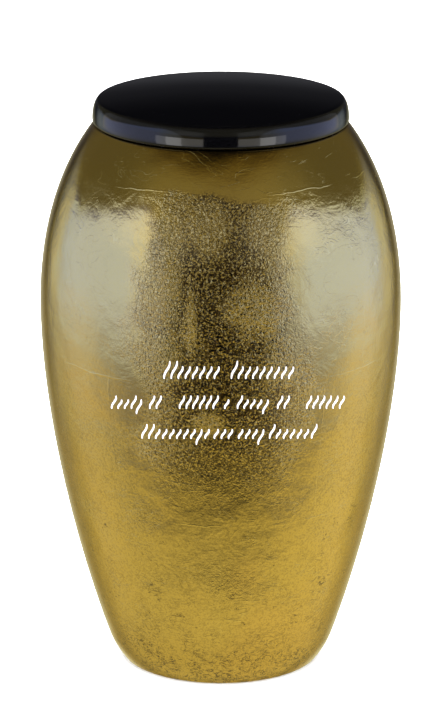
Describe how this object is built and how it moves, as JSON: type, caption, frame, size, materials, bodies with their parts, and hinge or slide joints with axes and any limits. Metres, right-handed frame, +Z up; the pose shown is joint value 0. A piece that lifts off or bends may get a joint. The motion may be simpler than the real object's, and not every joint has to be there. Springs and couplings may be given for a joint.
{
  "type": "cremation urn",
  "caption": "Egg-shaped hollow urn with a round black lift-off cap, a gold-leaf finish and rows of shallow inscription strokes on the front.",
  "frame": {"origin": "centre of the flat underside", "axes": "+Z up along the axis of revolution; the inscription faces -Y"},
  "size_m": [0.1608, 0.1608, 0.2617],
  "materials": {
    "gold_leaf": "gold leaf laid in squares over a dark ground, wrinkled, under a clear gloss varnish",
    "white_enamel": "white enamel filling of the inscription strokes",
    "black_lacquer": "deep black high-gloss lacquer"
  },
  "bodies": {
    "root": {"urn_body": "gold_leaf", "lid": "black_lacquer"}
  },
  "joints": []
}
